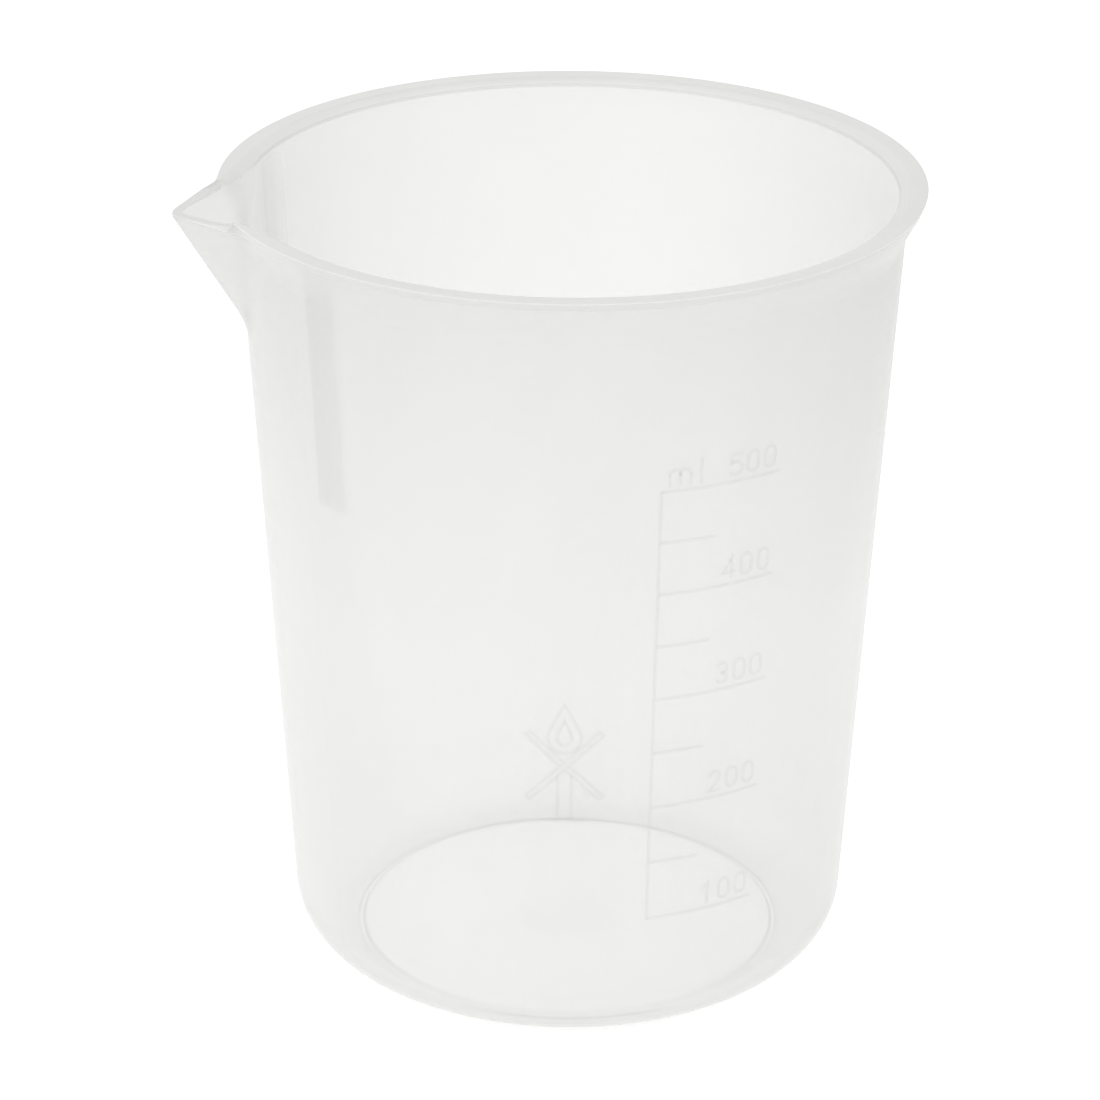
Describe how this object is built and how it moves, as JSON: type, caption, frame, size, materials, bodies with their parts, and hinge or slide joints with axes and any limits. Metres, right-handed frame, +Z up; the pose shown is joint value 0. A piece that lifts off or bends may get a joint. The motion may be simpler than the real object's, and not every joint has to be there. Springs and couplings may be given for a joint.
{
  "type": "graduated laboratory beaker",
  "caption": "Low-form beaker moulded in milky translucent polypropylene, with a flared rim, a V-shaped pouring spout and a raised graduation, for measuring, mixing and pouring.",
  "frame": {"origin": "on the beaker's axis, at the plane of the table that the foot ring stands on", "axes": "+Z up along the axis towards the mouth; the pouring spout points along -X; the graduation is on the -Y side"},
  "size_m": [0.1091, 0.1024, 0.12],
  "materials": {
    "pp_body": "natural translucent polypropylene, thin wall, satin to semi-gloss",
    "pp_rim": "natural translucent polypropylene where it is thick, so it looks denser",
    "pp_marks": "raised marks in the same uncoloured polypropylene"
  },
  "bodies": {
    "root": {"base_floor": "pp_body", "foot_ring": "pp_body", "gate_pad": "pp_body", "heel": "pp_body", "side_wall": "pp_body", "rim_lip": "pp_rim", "pouring_spout": "pp_body", "stacking_rib_front": "pp_body", "stacking_rib_back": "pp_body", "scale_spine": "pp_marks", "scale_main_lines": "pp_marks", "scale_half_lines": "pp_marks", "scale_numerals": "pp_marks", "scale_unit": "pp_marks", "symbol_flame": "pp_marks", "symbol_burner": "pp_marks", "symbol_cross": "pp_marks"}
  },
  "joints": []
}
